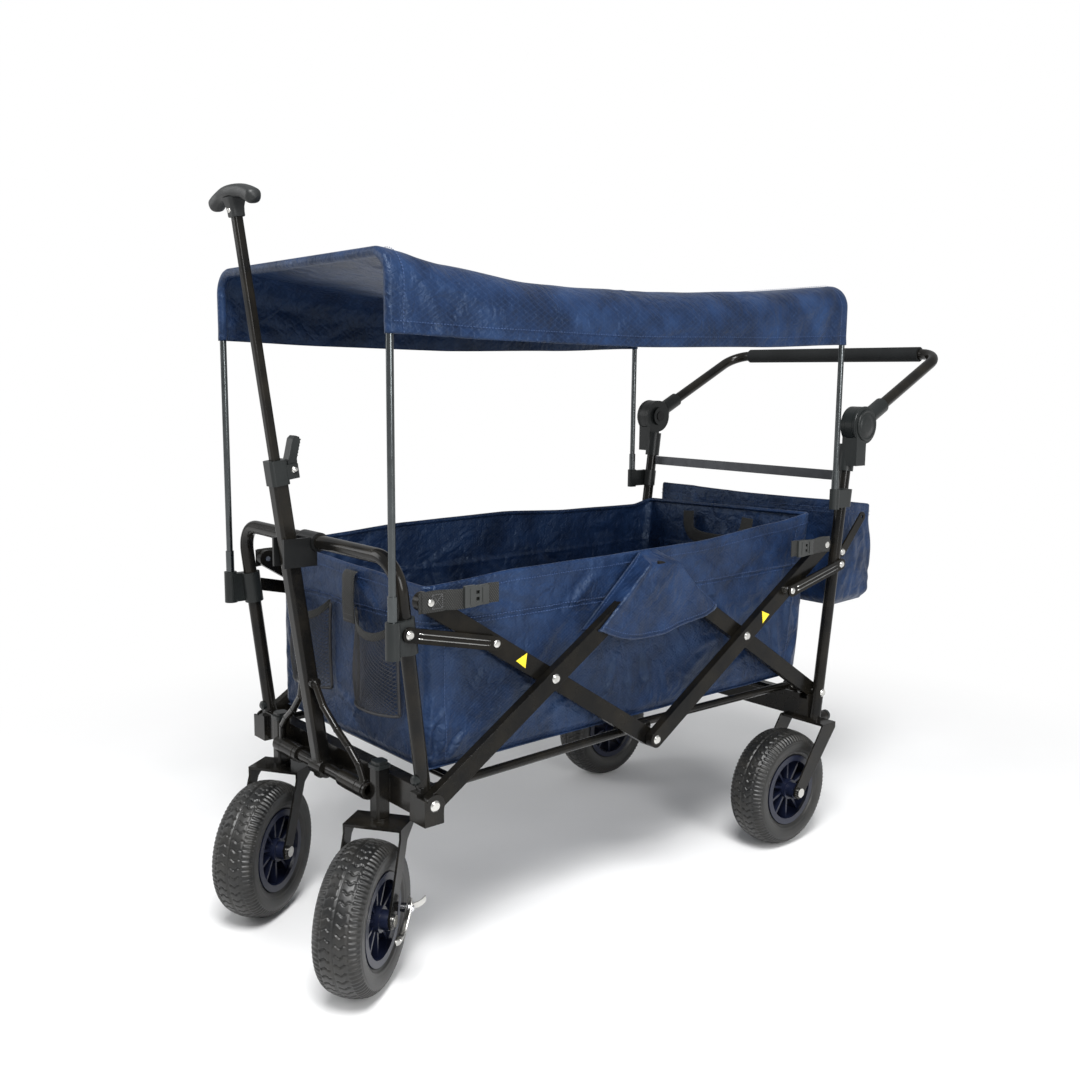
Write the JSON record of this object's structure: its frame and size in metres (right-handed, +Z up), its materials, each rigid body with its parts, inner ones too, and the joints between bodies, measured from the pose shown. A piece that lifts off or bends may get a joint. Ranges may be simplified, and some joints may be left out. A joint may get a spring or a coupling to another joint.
{
  "type": "folding pull wagon",
  "caption": "Folding four-wheel children's wagon with fabric tub, canopy on bows, telescoping pull handle, rear push handle, rear basket and swivelling front casters.",
  "frame": {"origin": "centre of the bounding box in plan, on the floor under the wheels", "axes": "X across the width, -Y toward the front pull handle, +Y toward the push handle, +Z up"},
  "size_m": [0.5452, 1.337, 1.0445],
  "materials": {
    "black_steel": "gloss",
    "bar_steel": "satin",
    "plastic": "matte",
    "chrome": "polished",
    "brake_steel": "brushed",
    "tyre": "matte",
    "rim": "satin",
    "foam": "matte",
    "navy_fabric": "woven",
    "webbing": "woven",
    "mesh": "mesh"
  },
  "bodies": {
    "front_frame": {"front_frame": "black_steel", "front_caps": "plastic", "front_sockets": "plastic", "handle_clip": "plastic", "handle_pivot_tube": "black_steel", "front_frame_pins": "chrome", "tub_fabric": "navy_fabric", "front_pockets": "mesh", "side_flaps": "navy_fabric", "side_straps": "webbing", "strap_buckles": "plastic"},
    "front_links": {"front_links": "bar_steel"},
    "front_outer_bars": {"front_outer_bars": "bar_steel", "front_outer_pins": "chrome"},
    "front_inner_bars": {"front_inner_bars": "bar_steel", "front_inner_pins": "chrome"},
    "rear_inner_bars": {"rear_inner_bars": "bar_steel", "rear_inner_pins": "chrome"},
    "rear_outer_bars": {"rear_outer_bars": "bar_steel", "rear_outer_pins": "chrome"},
    "rear_links": {"rear_links": "bar_steel"},
    "front_rails": {"front_rails": "black_steel"},
    "rear_rails": {"rear_rails": "black_steel"},
    "rear_frame": {"rear_frame": "black_steel", "rear_caps": "plastic", "rear_sockets": "plastic", "rear_cross_strap": "bar_steel", "rear_frame_pins": "chrome", "rear_axles": "chrome", "basket_arms": "bar_steel", "rear_basket": "navy_fabric", "hub_shells": "plastic"},
    "rear_wheel_right": {"rear_tyre_right": "tyre", "rear_rim_right": "rim"},
    "rear_wheel_left": {"rear_tyre_left": "tyre", "rear_rim_left": "rim"},
    "push_handle": {"push_hubs": "plastic", "push_tube": "black_steel", "push_grip": "foam"},
    "button_right": {"release_button_right": "plastic"},
    "button_left": {"release_button_left": "plastic"},
    "caster_right": {"caster_fork_right": "black_steel", "front_axle_right": "chrome"},
    "caster_left": {"caster_fork_left": "black_steel", "front_axle_left": "chrome"},
    "front_wheel_right": {"front_tyre_right": "tyre", "front_rim_right": "rim"},
    "front_wheel_left": {"front_tyre_left": "tyre", "front_rim_left": "rim"},
    "foot_brake_right": {"brake_right": "brake_steel"},
    "foot_brake_left": {"brake_left": "brake_steel"},
    "pull_handle": {"handle_tube": "black_steel", "handle_arch": "black_steel", "handle_collar": "plastic"},
    "pull_slider": {"handle_slider": "black_steel", "handle_grip": "plastic"},
    "cam_lever": {"cam_lever": "plastic"},
    "canopy_front": {"canopy_fabric": "navy_fabric", "front_bow": "chrome"},
    "canopy_rear": {"rear_bow": "chrome"}
  },
  "joints": [
    {"name": "fold", "type": "hinge", "parent": "front_frame", "child": "front_outer_bars", "pos_m": [0, -0.5022, 0.256], "axis": [1, 0, 0], "range_deg": [0, 37.6], "deforming": ["tub_fabric", "side_flaps", "side_straps", "strap_buckles", "canopy_fabric"]},
    {"name": "front_cross", "type": "hinge", "parent": "front_outer_bars", "child": "front_inner_bars", "pos_m": [0, -0.29345, 0.3885], "axis": [1, 0, 0], "range_deg": [-75.7, 0.3]},
    {"name": "top_centre", "type": "hinge", "parent": "front_outer_bars", "child": "rear_inner_bars", "pos_m": [0, -0.0847, 0.521], "axis": [1, 0, 0], "range_deg": [-75.7, 0.3]},
    {"name": "rear_cross", "type": "hinge", "parent": "rear_inner_bars", "child": "rear_outer_bars", "pos_m": [0, 0.12405, 0.3885], "axis": [1, 0, 0], "range_deg": [-0.3, 75.7]},
    {"name": "rear_frame_hinge", "type": "hinge", "parent": "rear_inner_bars", "child": "rear_frame", "pos_m": [0, 0.3328, 0.256], "axis": [1, 0, 0], "range_deg": [-0.3, 38.1]},
    {"name": "front_link_hinge", "type": "hinge", "parent": "front_frame", "child": "front_links", "pos_m": [0, -0.5337, 0.4847], "axis": [1, 0, 0], "range_deg": [-0.3, 68.33]},
    {"name": "rear_link_hinge", "type": "hinge", "parent": "rear_frame", "child": "rear_links", "pos_m": [0, 0.3643, 0.4847], "axis": [1, 0, 0], "range_deg": [-68.33, 0.3]},
    {"name": "front_rail_hinge", "type": "hinge", "parent": "front_frame", "child": "front_rails", "pos_m": [0, -0.4797, 0.262], "axis": [1, 0, 0], "range_deg": [-0.3, 67.24]},
    {"name": "rear_rail_hinge", "type": "hinge", "parent": "rear_frame", "child": "rear_rails", "pos_m": [0, 0.3103, 0.262], "axis": [1, 0, 0], "range_deg": [-67.24, 0.3]},
    {"name": "caster_swivel_right", "type": "hinge", "parent": "front_frame", "child": "caster_right", "pos_m": [0.1393, -0.5227, 0.24], "axis": [0, 0, 1], "continuous": true},
    {"name": "front_wheel_spin_right", "type": "hinge", "parent": "caster_right", "child": "front_wheel_right", "pos_m": [0.17371, -0.57148, 0.1004], "axis": [0.8171, 0.5764, 0], "continuous": true},
    {"name": "brake_pedal_right", "type": "hinge", "parent": "caster_right", "child": "foot_brake_right", "pos_m": [0.19452, -0.52291, 0.1064], "axis": [0.8171, 0.5764, 0], "range_deg": [0, 28]},
    {"name": "rear_wheel_spin_right", "type": "hinge", "parent": "rear_frame", "child": "rear_wheel_right", "pos_m": [0.2223, 0.242, 0.1004], "axis": [1, 0, 0], "continuous": true},
    {"name": "release_button_right", "type": "slide", "parent": "rear_frame", "child": "button_right", "axis": [1, 0, 0], "range_m": [0, 0.0035], "stiffness_N_per_m": 900, "springref_m": -0.002},
    {"name": "caster_swivel_left", "type": "hinge", "parent": "front_frame", "child": "caster_left", "pos_m": [-0.1393, -0.5227, 0.24], "axis": [0, 0, 1], "continuous": true},
    {"name": "front_wheel_spin_left", "type": "hinge", "parent": "caster_left", "child": "front_wheel_left", "pos_m": [-0.10714, -0.57299, 0.1004], "axis": [0.8425, 0.5388, 0], "continuous": true},
    {"name": "brake_pedal_left", "type": "hinge", "parent": "caster_left", "child": "foot_brake_left", "pos_m": [-0.15997, -0.5739, 0.1064], "axis": [0.8425, 0.5388, 0], "range_deg": [0, 28]},
    {"name": "rear_wheel_spin_left", "type": "hinge", "parent": "rear_frame", "child": "rear_wheel_left", "pos_m": [-0.2223, 0.242, 0.1004], "axis": [1, 0, 0], "continuous": true},
    {"name": "release_button_left", "type": "slide", "parent": "rear_frame", "child": "button_left", "axis": [-1, 0, 0], "range_m": [0, 0.0035], "stiffness_N_per_m": 900, "springref_m": -0.002},
    {"name": "pull_handle_tilt", "type": "hinge", "parent": "front_frame", "child": "pull_handle", "pos_m": [0, -0.5317, 0.25], "axis": [1, 0, 0], "range_deg": [0, 75]},
    {"name": "pull_handle_extend", "type": "slide", "parent": "pull_handle", "child": "pull_slider", "axis": [0, -0.1392, 0.9903], "range_m": [-0.29, 0]},
    {"name": "cam_lever_open", "type": "hinge", "parent": "pull_handle", "child": "cam_lever", "pos_m": [0, -0.57075, 0.67874], "axis": [-1, 0, 0], "range_deg": [0, 100]},
    {"name": "push_handle_tilt", "type": "hinge", "parent": "rear_frame", "child": "push_handle", "pos_m": [0, 0.3963, 0.728], "axis": [1, 0, 0], "range_deg": [-75, 55]},
    {"name": "canopy_lift", "type": "slide", "parent": "front_frame", "child": "canopy_front", "axis": [0, 0, 1], "range_m": [0, 0.03]},
    {"name": "canopy_lift_rear", "type": "slide", "parent": "rear_frame", "child": "canopy_rear", "axis": [0, 0, 1], "range_m": [-0.0005, 0.0305]}
  ],
  "couplings": [
    {"joint": "front_cross", "follows": "fold", "ratio": -2},
    {"joint": "top_centre", "follows": "fold", "ratio": -2},
    {"joint": "rear_cross", "follows": "fold", "ratio": 2},
    {"joint": "rear_frame_hinge", "follows": "fold", "ratio": 1},
    {"joint": "front_link_hinge", "follows": "fold", "ratio": 1.804},
    {"joint": "rear_link_hinge", "follows": "fold", "ratio": -1.804},
    {"joint": "front_rail_hinge", "follows": "fold", "ratio": 1.775},
    {"joint": "rear_rail_hinge", "follows": "fold", "ratio": -1.775},
    {"joint": "canopy_lift_rear", "follows": "canopy_lift", "ratio": 1}
  ]
}
